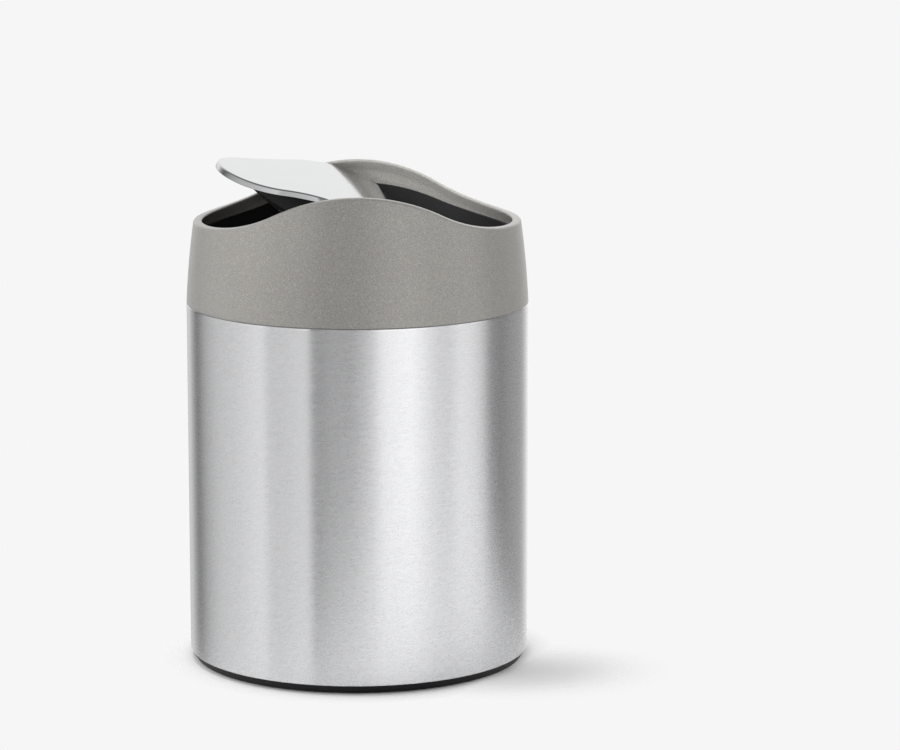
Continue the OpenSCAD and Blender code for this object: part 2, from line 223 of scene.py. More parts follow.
class Net:
    """The node tree of one material or of the world."""

    def __init__(self, tree):
        self.tree = tree
        tree.nodes.clear()

    def node(self, kind, settings=None, sockets=None):
        """Makes a node. Settings come first, then the values or wires of its sockets."""
        made = self.tree.nodes.new(kind)
        for name, value in (settings or {}).items():
            if name == "stops":
                self.set_stops(made.color_ramp, value)
            elif name == "interpolation":
                made.color_ramp.interpolation = value
            else:
                setattr(made, name, value)
        for name, value in (sockets or {}).items():
            socket = made.inputs[name] if isinstance(name, int) else self.find(made.inputs, name)
            if isinstance(value, Wire):
                self.tree.links.new(value.socket, socket)
            elif socket.type == "RGBA":
                socket.default_value = (*value, 1)
            else:
                socket.default_value = value
        return {output.identifier: Wire(self, output) for output in made.outputs}

    @staticmethod
    def find(sockets, name):
        """The first socket that is called by a name, or that has it as its identifier."""
        return next(socket for socket in sockets if name in (socket.identifier, socket.name))

    @staticmethod
    def set_stops(ramp, stops):
        """Gives a colour ramp as many stops as there are in a list of (position, colour)."""
        while len(ramp.elements) < len(stops):
            ramp.elements.new(0.5)
        for element, (position, colour) in zip(ramp.elements, stops):
            element.position = position
            element.color = (*colour, 1)

    def math(self, operation, first, second):
        """A value worked out from two values."""
        return self.node("ShaderNodeMath", {"operation": operation}, {0: first, 1: second})["Value"]

    def ramp(self, factor, stops, interpolation="LINEAR"):
        """A value turned into another one, along stops of (position, grey level)."""
        greys = [(position, grey(level)) for position, level in stops]
        settings = {"stops": greys, "interpolation": interpolation}
        return self.node("ShaderNodeValToRGB", settings, {"Fac": factor})["Color"]

    def fade(self, factor, start, end, before=0, after=1):
        """A soft step from one level to another, while a value goes from start to end."""
        return self.ramp(factor, [(start, before), (end, after)], "EASE")

    def spread(self, factor, low, high):
        """The range from low to high, spread over 0 to 1 and cut off outside."""
        return self.ramp(factor, [(low, 0), (high, 1)])

    def mix(self, factor, first, second):
        """A colour between two colours."""
        sockets = {"Factor_Float": factor, "A_Color": first, "B_Color": second}
        return self.node("ShaderNodeMix", {"data_type": "RGBA"}, sockets)["Result_Color"]

    def brighter(self, colour, factor):
        """A colour made brighter or darker by a factor."""
        made = self.node("ShaderNodeVectorMath", {"operation": "SCALE"}, {0: colour, "Scale": factor})
        return made["Vector"]

    def scaled(self, vector, x, y, z):
        """A vector with each of its numbers multiplied."""
        made = self.node("ShaderNodeVectorMath", {"operation": "MULTIPLY"}, {0: vector, 1: (x, y, z)})
        return made["Vector"]

    def length(self, vector):
        """How long a vector is, such as the distance of a place from the middle."""
        return self.node("ShaderNodeVectorMath", {"operation": "LENGTH"}, {0: vector})["Value"]


# %% [markdown]
# A picture like this is lit by a studio of soft white walls. The world is that studio, and it looks
# different to different rays. The camera sees plain white. Shiny surfaces see the room: bright panels
# and darker gaps between them, side by side round the bin, under a dim ceiling. Brushed steel smears
# such a room upwards and downwards, and so the panels become the tall soft bands that make a steel can
# look like steel.
#
# The panels are listed by their direction: 0 degrees is towards the camera, and 90 degrees is to the
# right. Straight behind the bin, just above the horizon, stands one bright wall, which the flap's
# polished top looks into. A ramp reads only values from 0 to 1, so a height that can be negative is
# halved and raised by a half before it goes in.

# %% What shiny surfaces see of the studio
PANELS = [
    (-180, 0.50),
    (-158, 0.72),
    (-138, 0.16),
    (-125, 0.48),
    (-110, 0.66),
    (-90, 0.76),
    (-66, 0.97),
    (-63, 0.70),
    (-48, 0.78),
    (-36, 0.88),
    (-33, 0.95),
    (-31, 0.33),
    (-18, 0.47),
    (-4, 0.45),
    (8, 0.70),
    (17, 1.17),
    (36, 1.32),
    (46, 1.08),
    (54, 0.86),
    (64, 0.80),
    (72, 1.01),
    (84, 0.91),
    (92, 0.72),
    (100, 0.31),
    (112, 0.24),
    (125, 0.32),
    (145, 0.40),
    (160, 0.85),
    (180, 1.30),
]
CEILING = grey(0.22)
CEILING_FROM_TO = (0.42, 0.62)
BACK_WALL = grey(1.01)
BACK_WALL_SIDES = (0.80, 0.95)
BACK_WALL_FOOT = (0.485, 0.52)

world = bpy.data.worlds.new("studio")
bpy.context.scene.world = world
world.use_nodes = True
room = Net(world.node_tree)
direction = room.node("ShaderNodeTexCoord")["Generated"]
along = room.node("ShaderNodeSeparateXYZ", {}, {0: direction})
round_room = room.math("ARCTAN2", along["X"], along["Y"] * -1) / math.tau + 0.5


def by_direction(levels):
    """Light from every side of the room, along a list of (degrees, level)."""
    return room.ramp(round_room, [(angle / 360 + 0.5, level) for angle, level in levels])


walls = room.mix(room.fade(along["Z"], *CEILING_FROM_TO), by_direction(PANELS), CEILING)
behind = room.fade(along["Y"], *BACK_WALL_SIDES)
above_horizon = room.fade(along["Z"] * 0.5 + 0.5, *BACK_WALL_FOOT)
seen_by_gloss = room.mix(behind * above_horizon, walls, BACK_WALL)
print("panels in the studio:", len(PANELS))

# %% [markdown]
# Dull surfaces get a soft light of their own, which no panel cuts into bands. It comes mostly from the
# two sides, less from behind, and least from the front, where the camera stands. That is what makes
# the painted collar look round. It is strongest a little above the horizon, and weaker from straight
# above and from below. The camera itself sees an even white.

# %% What dull surfaces and the camera see
SOFT_LIGHT = [
    (-180, 1.3),
    (-140, 2.5),
    (-105, 3.4),
    (-75, 2.0),
    (-30, 0.50),
    (10, 0.68),
    (70, 1.15),
    (105, 3.2),
    (140, 2.7),
    (180, 1.3),
]
BY_HEIGHT = [(0, 0.62), (0.35, 1), (0.60, 0.85), (1, 0.4)]
WHITE = grey(0.922)

from_above = room.ramp(along["Z"], BY_HEIGHT, "EASE")
seen_by_matt = room.brighter(by_direction(SOFT_LIGHT), from_above)
ray = room.node("ShaderNodeLightPath")
not_yet_scattered = 1 - room.math("MINIMUM", ray["Diffuse Depth"], 1)
not_camera = room.mix(ray["Is Glossy Ray"] * not_yet_scattered, seen_by_matt, seen_by_gloss)
clear_view = ray["Is Camera Ray"] + ray["Is Transmission Ray"]
shown = room.mix(clear_view, not_camera, WHITE)
background = room.node("ShaderNodeBackground", {}, {"Color": shown})["Background"]
room.node("ShaderNodeOutputWorld", {}, {"Surface": background})
print("nodes in the studio:", len(world.node_tree.nodes))

# %% [markdown]
# Three lamps help the walls. A soft one hangs high above the bin, to the left: it throws the short,
# faint shadow to the right, and brightens the rim and every other surface that faces up. The open lid
# would be a black hole without the other two. One is a narrow beam from the front left, which passes
# over the front rim and lights the inner wall at the back. The other hangs low in front and is still
# narrower: it shines over the rim, where the rim falls to the left, into the left opening. The steel
# doesn't see the lamps, because the studio's panels already stand for them.

# %% The lamps
def hang_lamp(name, kind, watts, place, aim, **settings):
    """A lamp at a place, in metres, turned towards the point it is aimed at."""
    data = bpy.data.lights.new(name, kind)
    data.energy = watts
    for setting, value in settings.items():
        setattr(data, setting, value)
    lamp = bpy.data.objects.new(name, data)
    bpy.context.scene.collection.objects.link(lamp)
    lamp.location = place
    lamp.rotation_euler = (Vector(aim) - Vector(place)).to_track_quat("-Z", "Y").to_euler()
    lamp.visible_glossy = False
    print(name, "hangs at", place)


hang_lamp(
    "lamp_above",
    "AREA",
    watts=7.8,
    place=(-0.34, 0.05, 1.5),
    aim=(0, 0, 0.09),
    shape="DISK",
    size=0.34,
)
hang_lamp(
    "lamp_into_lid",
    "SPOT",
    watts=33,
    place=(-0.20, -0.42, 0.60),
    aim=(0.034, 0.060, 0.172),
    spot_size=math.radians(9.5),
    spot_blend=0.8,
    shadow_soft_size=0.03,
)
hang_lamp(
    "lamp_over_rim",
    "SPOT",
    watts=8,
    place=(-0.06, -0.60, 0.262),
    aim=(-0.045, 0.020, 0.154),
    spot_size=math.radians(6),
    spot_blend=1,
    shadow_soft_size=0.04,
)

# %% [markdown]
# The table is one pale disc. It could be a wide floor that curves up into a backdrop, but then an
# edge would show from some side. A disc can fade away where it isn't needed, and the white studio
# takes over.

# %% The table
TABLE_R = 0.62
TABLE_SIDES = 96

table_mesh = bmesh.new()
bmesh.ops.create_circle(table_mesh, cap_ends=True, segments=TABLE_SIDES, radius=TABLE_R)
table_data = bpy.data.meshes.new("table")
table_mesh.to_mesh(table_data)
table_mesh.free()
table = bpy.data.objects.new("table", table_data)
bpy.context.scene.collection.objects.link(table)
print("table radius", TABLE_R)

# %% [markdown]
# Each kind of ray sees its own share of the paper. The paper is greyer than the white studio, so what
# the camera sees of it is painted shade: a narrow ring round the bin's foot and a soft spot at the
# right, where the lamps' real shadow falls too and the grey paper paints it darker. Dull surfaces see
# a wide part, which lights them from below. Shiny surfaces see only the part in front of the bin and
# to its right, in a lighter copy of the paper that paints a brighter reflection into the steel, and the
# panels through the rest: a full reflection of the table would wash out the steel's bands near the
# foot. From underneath the paper is clear, so that the base can be looked at.

# %% The table's paper
# The paper is greyer than the white studio, so wherever the camera sees it, it paints shade over the real
# shadows of the lamps.
PAPER = grey(0.63)
# Painted reflection: a lighter copy of the paper that only shiny surfaces see, so the table's reflection
# in the steel is brighter than its light makes it.
PAPER_PAINTED_LIGHTER_IN_STEEL = grey(0.73)
WIDE_FROM_TO = (0.40, 0.60)
# Ring of painted contact shade round the foot: the camera sees the grey paper there, with the real
# contact shadow in it.
PAINTED_CONTACT_SHADE = [(0.061, 1), (0.0645, 0.5), (0.074, 0)]
# Spot of painted shadow at the right: the camera sees the grey paper there, which darkens the lamps'
# real, fainter shadow.
PAINTED_SHADOW_AT = (0.060, -0.031, 0)
PAINTED_SHADOW_REACH = (0.064, 0.044, 1)
NEAR = [(0.08, 1), (0.16, 0.78), (0.30, 0.28), (0.45, 0)]
FRONT_FROM_TO = (-0.04, 0.06)
RIGHT_FROM_TO = (-0.10, 0.02)
SHARE_BEHIND = 0.05
SHARE_AT_LEFT = 0.1
HALF_METRE = 0.5

paper = bpy.data.materials.new("table_paper")
paper.use_nodes = True
sheet = Net(paper.node_tree)
spot_on_table = sheet.node("ShaderNodeTexCoord")["Object"]
across = sheet.node("ShaderNodeSeparateXYZ", {}, {0: spot_on_table})


def across_table(axis, from_to, before, after):
    """A soft step along an axis. A ramp begins at 0, so half a metre is added to every position."""
    start, end = from_to
    return sheet.fade(across[axis] + HALF_METRE, start + HALF_METRE, end + HALF_METRE, before, after)


from_middle = sheet.length(spot_on_table)
to_matt = sheet.fade(from_middle, *WIDE_FROM_TO, 1, 0)
# Painted contact shade: in this ring round the foot the camera sees the grey paper, which reads darker
# than the white studio.
painted_contact_shade = sheet.ramp(from_middle, PAINTED_CONTACT_SHADE)
# Painted shadow: inside this soft spot the camera sees the grey paper, which reads darker than the white
# studio.
from_painted_shadow = sheet.node(
    "ShaderNodeMapping",
    {"vector_type": "TEXTURE"},
    {"Vector": spot_on_table, "Location": PAINTED_SHADOW_AT, "Scale": PAINTED_SHADOW_REACH},
)["Vector"]
painted_shadow = sheet.fade(sheet.length(from_painted_shadow), 0, 1, 1, 0)
to_camera = sheet.math("MAXIMUM", painted_contact_shade, painted_shadow)
in_front = across_table("Y", FRONT_FROM_TO, 1, SHARE_BEHIND)
at_right = across_table("X", RIGHT_FROM_TO, SHARE_AT_LEFT, 1)
to_gloss = sheet.ramp(from_middle, NEAR) * in_front * at_right

sheet_ray = sheet.node("ShaderNodeLightPath")
glossy, direct = sheet_ray["Is Glossy Ray"], sheet_ray["Is Camera Ray"]
share = to_matt + direct * (to_camera - to_matt) + glossy * (to_gloss - to_matt)
upper_side = 1 - sheet.node("ShaderNodeNewGeometry")["Backfacing"]
# Shiny surfaces see the lighter copy of the paper: a painted brightening of the table's reflection.
tone = sheet.mix(glossy, PAPER, PAPER_PAINTED_LIGHTER_IN_STEEL)
matt = sheet.node("ShaderNodeBsdfDiffuse", {}, {"Color": tone})["BSDF"]
clear = sheet.node("ShaderNodeBsdfTransparent")["BSDF"]
mixed = sheet.node("ShaderNodeMixShader", {}, {"Fac": share * upper_side, 1: clear, 2: matt})["Shader"]
sheet.node("ShaderNodeOutputMaterial", {}, {"Surface": mixed})
table_data.materials.append(paper)
print("nodes in the paper:", len(paper.node_tree.nodes))

# %% [markdown]
# Each finish is one function call: a name, what its colour and roughness are made of, and the numbers
# that are the same all over. Those constant numbers, such as how much brushed steel stretches its
# highlights, are set on the shader's own sockets. The scale of a noise is how many of its lumps go
# into a metre, and the depth of a bump is in millimetres, so both can be judged on the real thing.

# %% One finish
def finish(name, recipe):
    """A material whose recipe fills the main shader's sockets from a net of nodes."""
    material = bpy.data.materials.new(name)
    material.use_nodes = True
    net = Net(material.node_tree)
    place = net.node("ShaderNodeTexCoord")["Object"]
    shader = net.node("ShaderNodeBsdfPrincipled", {}, recipe(net, place))["BSDF"]
    net.node("ShaderNodeOutputMaterial", {}, {"Surface": shader})
    return material


def noise(net, place, lumps, detail=2.0, roughness=0.5):
    """Cloudy values round 0.5, with a number of lumps in a metre."""
    sockets = {"Vector": place, "Scale": lumps, "Detail": detail, "Roughness": roughness}
    return net.node("ShaderNodeTexNoise", {}, sockets)["Fac"]


def bump(net, height, depth_mm, strength=1.0):
    """A surface that rises and falls by up to a depth in millimetres."""
    sockets = {"Height": height, "Distance": depth_mm * MM, "Strength": strength}
    return net.node("ShaderNodeBump", {}, sockets)["Normal"]


# %% [markdown]
# The can is steel that was brushed round and round by a belt. Real brushing is thousands of fine
# scratches, each longer than it is wide. Noise that is squeezed along the can's height, and so seems
# stretched round it, gives just such streaks. Four layers are mixed: short streaks and long ones for
# the scratches, small dots where the belt dug in, and broad bands for the slow changes that it leaves.
# They change the roughness and, a little, the brightness. The last millimetre under the collar is the
# bend of the hem, which the rolls have burnished to a shine.

# %% Brushed steel
STEEL_DARK = (0.708, 0.708, 0.720)
STEEL_PALE = (0.792, 0.792, 0.804)
HEM_SHINE = 1.0
HEM_FADE = 0.35
HEM_SMOOTHER_BY = 0.7


def brushed_steel(net, place):
    """Recipe of the can's brushed sheet, with a burnished hem at the top."""

    def brushing(squeeze, lumps, **look):
        return noise(net, net.scaled(place, 1, 1, squeeze), lumps, **look)

    long = brushing(squeeze=11, lumps=120, roughness=0.6)
    short = brushing(squeeze=4, lumps=420, detail=1)
    dots = brushing(squeeze=2, lumps=1100, detail=1)
    broad = brushing(squeeze=30, lumps=25)
    streak = short * 0.50 + long * 0.25 + dots * 0.15 + broad * 0.10
    height = net.node("ShaderNodeSeparateXYZ", {}, {0: place})["Z"]
    hem = net.spread((height - (seam_z - HEM_SHINE) * MM) / (HEM_FADE * MM), 0, 1)
    return {
        "Base Color": net.mix(net.spread(streak, 0.38, 0.62), STEEL_DARK, STEEL_PALE),
        "Metallic": 1.0,
        "Roughness": (streak * 0.16 + 0.20) * (1 - hem * HEM_SMOOTHER_BY),
        "Anisotropic": 0.93,
        "Anisotropic Rotation": 0.25,
        "Normal": bump(net, short, depth_mm=0.0055),
    }


# %% [markdown]
# The collar is moulded plastic with a metallic paint over it. Close up, the paint is a fine speckle of
# lighter and darker grains, about a third of a millimetre across, on a surface that isn't quite smooth.

# %% Painted collar
PAINT_DARK = (0.302, 0.292, 0.271)
PAINT_PALE = (0.444, 0.434, 0.408)


def collar_paint(net, place):
    """Recipe of the speckled paint on the collar."""
    grain = noise(net, place, lumps=2600, detail=1)
    cloud = noise(net, place, lumps=30)
    speckle = net.spread(grain * 0.9 + cloud * 0.1, 0.42, 0.72)
    return {
        "Base Color": net.mix(speckle, PAINT_DARK, PAINT_PALE),
        "Metallic": 0.4,
        "Roughness": grain * 0.10 + 0.31,
        "Coat Weight": 0.1,
        "Coat Roughness": 0.2,
        "Normal": bump(net, grain, depth_mm=0.012, strength=0.5),
    }


# %% [markdown]
# The flap's cover is polished until it mirrors the room. A mirror without any flaw looks like a
# drawing, so hair-fine wipe marks from side to side and a few cloudy smears take away a little of its
# gloss.

# %% Polished cover
POLISH_DARK = (0.545, 0.55, 0.56)
POLISH_PALE = (0.61, 0.615, 0.622)


def polished_steel(net, place):
    """Recipe of the flap's polished cover."""
    wipes = noise(net, net.scaled(place, 1, 14, 1), lumps=160, detail=3, roughness=0.6)
    smears = noise(net, place, lumps=45, detail=3, roughness=0.6)
    return {
        "Base Color": net.mix(smears, POLISH_DARK, POLISH_PALE),
        "Metallic": 1.0,
        "Roughness": wipes * 0.05 + smears * 0.05 + 0.02,
        "Normal": bump(net, wipes, depth_mm=0.0004),
    }


# %% [markdown]
# The dark mouldings share one recipe. Their moulds were sparked to a fine grain, so the plastic is
# matt, with a slight cloudiness where the grain is deeper. Only the colour, the size of the grain and
# the gloss differ from piece to piece.

# %% Grained plastic and rubber
def grained(dark, pale, rough, grains, depth_mm, shine=0.5):
    """Recipe of a moulded plastic or rubber between two colours, with its grains in a metre."""

    def recipe(net, place):
        grain = noise(net, place, grains, roughness=0.6)
        cloud = noise(net, place, lumps=40, detail=3)
        tone = net.spread(grain * 0.6 + cloud * 0.4, 0.35, 0.65)
        return {
            "Base Color": net.mix(tone, dark, pale),
            "Roughness": grain * 0.12 + cloud * 0.1 + rough,
            "Specular IOR Level": shine,
            "Normal": bump(net, grain, depth_mm),
        }

    return recipe


# %% [markdown]
# Small steel parts are plated or ground. Plating is a thin bright coat with faint cloudy patches, and
# ground pins carry rings round their length. One recipe makes both from noise that can be squeezed
# along any direction.

# %% Plated and ground steel
def plated(dark, pale, rough, squeeze):
    """Recipe of a bare or plated steel, whose marks are squeezed along the three axes."""

    def recipe(net, place):
        marks = noise(net, net.scaled(place, *squeeze), lumps=300, detail=3, roughness=0.6)
        cloud = noise(net, place, lumps=90, detail=3)
        return {
            "Base Color": net.mix(cloud * 0.6 + marks * 0.4, dark, pale),
            "Metallic": 1.0,
            "Roughness": marks * 0.15 + cloud * 0.1 + rough,
            "Normal": bump(net, marks, depth_mm=0.006),
        }

    return recipe


# %% [markdown]
# Now every finish can be made. What shows in the picture has its own recipe above. The rest are a few
# numbers each: black and nearly black plastic for the base, the liner and the tray, a pale one for the
# bearing bushes, soft rubber, and steel that is bright, dull or blackened.

# %% Make every finish
recipes = {
    "brushed_steel": brushed_steel,
    "collar_plastic": collar_paint,
    "polished_cover": polished_steel,
    "base_plastic": grained(
        dark=(0.006, 0.006, 0.0065),
        pale=(0.011, 0.011, 0.012),
        rough=0.42,
        grains=2200,
        depth_mm=0.02,
        shine=0.25,
    ),
    "liner_plastic": grained(
        dark=(0.012, 0.012, 0.0125),
        pale=(0.020, 0.020, 0.0205),
        rough=0.50,
        grains=1800,
        depth_mm=0.02,
        shine=0.2,
    ),
    "tray_plastic": grained(
        dark=(0.010, 0.010, 0.0105),
        pale=(0.017, 0.017, 0.0175),
        rough=0.42,
        grains=2000,
        depth_mm=0.01,
        shine=0.2,
    ),
    "bush_plastic": grained(
        dark=(0.62, 0.59, 0.50),
        pale=(0.74, 0.71, 0.62),
        rough=0.28,
        grains=1500,
        depth_mm=0.01,
    ),
    "soft_rubber": grained(
        dark=(0.020, 0.020, 0.021),
        pale=(0.038, 0.038, 0.040),
        rough=0.62,
        grains=1600,
        depth_mm=0.03,
    ),
    "floor_steel": plated(
        dark=(0.42, 0.43, 0.44), pale=(0.60, 0.61, 0.62), rough=0.30, squeeze=(1, 12, 1)
    ),
    "weight_steel": plated(
        dark=(0.22, 0.22, 0.22), pale=(0.36, 0.36, 0.37), rough=0.36, squeeze=(1, 6, 1)
    ),
    "pin_steel": plated(
        dark=(0.55, 0.55, 0.56), pale=(0.70, 0.70, 0.71), rough=0.18, squeeze=(1, 20, 1)
    ),
    "screw_steel": plated(
        dark=(0.035, 0.035, 0.036), pale=(0.07, 0.07, 0.072), rough=0.34, squeeze=(1, 1, 8)
    ),
}
finishes = {name: finish(name, recipe) for name, recipe in recipes.items()}
print("finishes:", len(finishes))

# %% [markdown]
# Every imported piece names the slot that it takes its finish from, so one loop dresses them all.

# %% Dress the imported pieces
def dress(piece, slot):
    """Gives a piece one finish and nothing else."""
    piece.data.materials.clear()
    piece.data.materials.append(finishes[slot])


slot_of = {row["node"]: row["material_slot"] for row in frame["record"]["subparts"]}
for name, piece in nodes.items():
    dress(piece, slot_of[name])
print("dressed:", len(slot_of))

# %% [markdown]
# The large pieces are skins: a section is drawn for each direction round the bin, and neighbouring
# sections are joined with four-sided faces. Where a section ends on the axis, its end points meet in
# one point. The sections may change on the way round, which is what the wavy rim needs, and what a
# plain turned shape can't do.

# %% Skin a piece
SECTIONS_ROUND = 288


def skin(mesh, sections, closed=True):
    """Joins sections, lists of points in millimetres, with four-sided faces, all the way round."""
    rings = [[mesh.verts.new(Vector(point) * MM) for point in section] for section in sections]
    count = len(rings[0])
    for here, there in zip(rings, rings[1:] + rings[:1]):
        for i in range(count if closed else count - 1):
            j = (i + 1) % count
            mesh.faces.new((here[i], here[j], there[j], there[i]))


def evenly(count):
    """Directions all the way round, evenly spaced."""
    return [i * math.tau / count for i in range(count)]


def angles_with(extra=()):
    """Directions round the bin, evenly spaced, with some more where a detail needs them."""
    return sorted(set(evenly(SECTIONS_ROUND)) | set(extra))


def outward(r, angle):
    """A point at a radius; the angle starts at the front and turns to the right."""
    return r * math.sin(angle), -r * math.cos(angle)


# %% [markdown]
# A finished mesh takes the place of its imported piece. Points that fell together are made one, and the
# faces are shaded smooth, except across an edge that is sharp on the real piece. The new piece hangs
# on an empty for its body, the can, the lid or the flap, so that it moves with that body.

# %% Put a mesh in its place
SHARP_ANGLE = math.radians(28)
SAME_POINT = 0.002


def make_piece(name, mesh, slot, body, stands_for):
    """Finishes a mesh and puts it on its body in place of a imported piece."""
    bmesh.ops.remove_doubles(mesh, verts=mesh.verts, dist=SAME_POINT * MM)
    bmesh.ops.recalc_face_normals(mesh, faces=mesh.faces)
    data = bpy.data.meshes.new(name)
    mesh.to_mesh(data)
    mesh.free()
    data.shade_smooth()
    data.set_sharp_from_angle(angle=SHARP_ANGLE)
    piece = bpy.data.objects.new(name, data)
    bpy.context.scene.collection.objects.link(piece)
    dress(piece, slot)
    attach(piece, body)
    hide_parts(stands_for)
    print(name, "faces:", len(data.polygons))


# %% [markdown]
# No real edge is a knife. A rounded corner catches a thin line of light, and that line is what tells
# the eye where an edge is. The first helper takes the corners of a section, each with its own radius,
# and replaces each corner with a short arc. The second gives the angles of a quarter round.

# %% Round the corners of an outline
def rounded(corners, steps=4):
    """Replaces each corner (x, z, radius) of a closed outline with an arc of that radius."""
    points = []
    for i, (x, z, radius) in enumerate(corners):
        here = Vector((x, z))
        if radius == 0:
            points.append(tuple(here))
            continue
        before = (Vector(corners[i - 1][:2]) - here).normalized()
        after = (Vector(corners[(i + 1) % len(corners)][:2]) - here).normalized()
        half = before.angle(after) / 2
        reach = radius / math.tan(half)
        start, end = here + before * reach, here + after * reach
        centre = here + (before + after).normalized() * (radius / math.sin(half))
        for k in range(steps + 1):
            spoke = (start - centre).lerp(end - centre, k / steps).normalized()
            points.append(tuple(centre + spoke * radius))
    return points


def quarter_round(steps):
    """Angles from 0 to 90 degrees."""
    return [math.radians(90 * k / steps) for k in range(steps + 1)]


# %% [markdown]
# The can is one sheet of steel, rolled and welded behind, with its top edge turned in and down. The
# turned edge is the bright line under the collar. Its section is drawn once and turned round the axis.
# The weld is a shallow, dressed groove down the back.

# %% The steel can
WELD_HALF_WIDTH = 0.35
WELD_DEPTH = 0.05
OUTSIDE_WITHIN = 0.01
tube_in_r = can_r - can_wall
hem_r = can_r - hem_w
can_outline = rounded(
    [
        (tube_in_r, tube_z, 0.2),
        (can_r, tube_z, 0.3),
        (can_r, seam_z, 0.5),
        (hem_r, seam_z, 0.5),
        (hem_r, seam_z - hem_h, 0.2),
        (hem_r + can_wall, seam_z - hem_h, 0.2),
        (hem_r + can_wall, seam_z - can_wall, 0.3),
        (tube_in_r, seam_z - can_wall, 0.3),
    ],
    steps=6,
)
weld_turn = WELD_HALF_WIDTH / can_r


def can_section(angle):
    """Closed section of the can. In the middle of the weld, its outside lies a little deeper."""
    depth = WELD_DEPTH if abs(angle - math.pi) < weld_turn / 2 else 0
    outside_from = can_r - OUTSIDE_WITHIN
    return [(*outward(r - depth if r > outside_from else r, angle), z) for r, z in can_outline]


weld_angles = [math.pi + k * weld_turn for k in (-2, -1, 1, 2)]
can_mesh = bmesh.new()
skin(can_mesh, [can_section(angle) for angle in angles_with(weld_angles)])
make_piece("steel_can", can_mesh, "brushed_steel", "can", "body_shell")

# %% [markdown]
# The collar's wall is a barrel, and its rim a wave. Each section is drawn in two numbers that follow
# those curves: the inset from the outside, and the height below the rim. A point of the rim lies on
# the wave where it stands, and because the wall leans, its radius depends on its height, so the two
# are worked out in turn until they settle.

# %% The collar
RIM_OUT_ROUND = 0.8
RIM_IN_ROUND = 0.8
FOOT_ROUND = 0.25
FOOT_STEPS = 3
RIM_STEPS = 6
WALL_STEPS = 20
TURNS_TO_SETTLE = 8


def on_rim(inset, below, angle):
    """Point of the collar at an inset and at a depth below the rim."""
    z = crest_z
    for _ in range(TURNS_TO_SETTLE):
        r = barrel_at(inset, z)
        z = rim_at(r * math.sin(angle)) - below
    return r, z


def wall_points(inset, low, high):
    """Points of the barrel between two heights, without the ends."""
    heights = [low + (high - low) * k / WALL_STEPS for k in range(1, WALL_STEPS)]
    return [(barrel_at(inset, z), z) for z in heights]


def foot_points():
    """The rounded outer corner at the collar's foot, from below upwards."""
    heights_and_insets = [
        (seam_z + FOOT_ROUND * (1 - math.sin(turn)), FOOT_ROUND * (1 - math.cos(turn)))
        for turn in reversed(quarter_round(FOOT_STEPS))
    ]
    return [(barrel_at(inset, z), z) for z, inset in heights_and_insets]


def rim_points(angle):
    """The rim from its outer edge over the top to its inner edge."""
    outer = [
        on_rim(RIM_OUT_ROUND * (1 - math.cos(turn)), RIM_OUT_ROUND * (1 - math.sin(turn)), angle)
        for turn in quarter_round(RIM_STEPS)
    ]
    inner = [
        on_rim(rim_wall - RIM_IN_ROUND * (1 - math.sin(turn)), RIM_IN_ROUND * (1 - math.cos(turn)), angle)
        for turn in quarter_round(RIM_STEPS)
    ]
    return outer + inner


def collar_section(angle):
    """Closed section of the collar: up the outside, over the rim, down the inside."""
    points = foot_points()
    rim = rim_points(angle)
    points += wall_points(0, points[-1][1], rim[0][1]) + rim
    for k in range(1, RIM_STEPS + 1):
        inset = rim_wall - (rim_wall - collar_wall) * k / RIM_STEPS
        points.append(on_rim(inset, RIM_IN_ROUND + (rim_band - RIM_IN_ROUND) * k / RIM_STEPS, angle))
    points += wall_points(collar_wall, points[-1][1], seam_z)
    points.append((barrel_at(collar_wall, seam_z), seam_z))
    return [(*outward(r, angle), z) for r, z in points]


collar_mesh = bmesh.new()
skin(collar_mesh, [collar_section(angle) for angle in angles_with()])
print("points in the collar:", len(collar_mesh.verts))

# %% [markdown]
# Inside the collar stand four bosses, which the lid's screws bite into, each tied to the wall by a rib.
# They are hidden once the lid is together, but the bin comes apart, and then they show.

# %% The collar's screw bosses
BOSS_R = 2.6
HOLE_R = 1.15
BOSS_ROOF = 1
BOSS_SIDES = 32
RIB_W = 1.4
RIB_SUNK = 0.3
boss_low = seam_z + free_gap + flange_t
boss_high = boss_low + lid_boss_h
boss_at = (liner_in_r + liner_wall - waist_step) + free_gap + BOSS_R
boss_outline = rounded(
    [
        (HOLE_R, boss_low, 0.2),
        (BOSS_R, boss_low, 0.3),
        (BOSS_R, boss_high, 0.4),
        (0, boss_high, 0),
        (0, boss_high - BOSS_ROOF, 0),
        (HOLE_R, boss_high - BOSS_ROOF, 0),
    ]
)
rib_in = boss_at + BOSS_R - RIB_SUNK
rib_out = can_r - collar_wall + RIB_SUNK
rib_size = (RIB_W * MM, (rib_out - rib_in) * MM, (boss_high - boss_low - 2 * RIB_SUNK) * MM, 1)
rib_centre = Vector((0, -(rib_in + rib_out) / 2, (boss_low + boss_high) / 2)) * MM
for quarter in range(4):
    corner = math.radians(45 + 90 * quarter)
    middle = Vector((*outward(boss_at, corner), 0))
    skin(
        collar_mesh,
        [
            [Vector((*outward(r, turn), z)) + middle for r, z in boss_outline]
            for turn in evenly(BOSS_SIDES)
        ],
    )
    rib = bmesh.ops.create_cube(collar_mesh, size=1)["verts"]
    spin = Matrix.Rotation(corner, 4, "Z")
    placed = spin @ Matrix.Translation(rib_centre) @ Matrix.Diagonal(rib_size)
    bmesh.ops.transform(collar_mesh, matrix=placed, verts=rib)
make_piece("wavy_collar", collar_mesh, "collar_plastic", "lid", "collar")

# %% [markdown]
# The flap's cover is a sheet of polished steel, pressed into a wave, with its edge turned down all the
# way round except in front and behind, where a notch leaves room for the bearings. It is drawn closed
# and level, in rings from the middle out, over the edge and back under, and then tilted about the
# pivot to where the solid model has it.

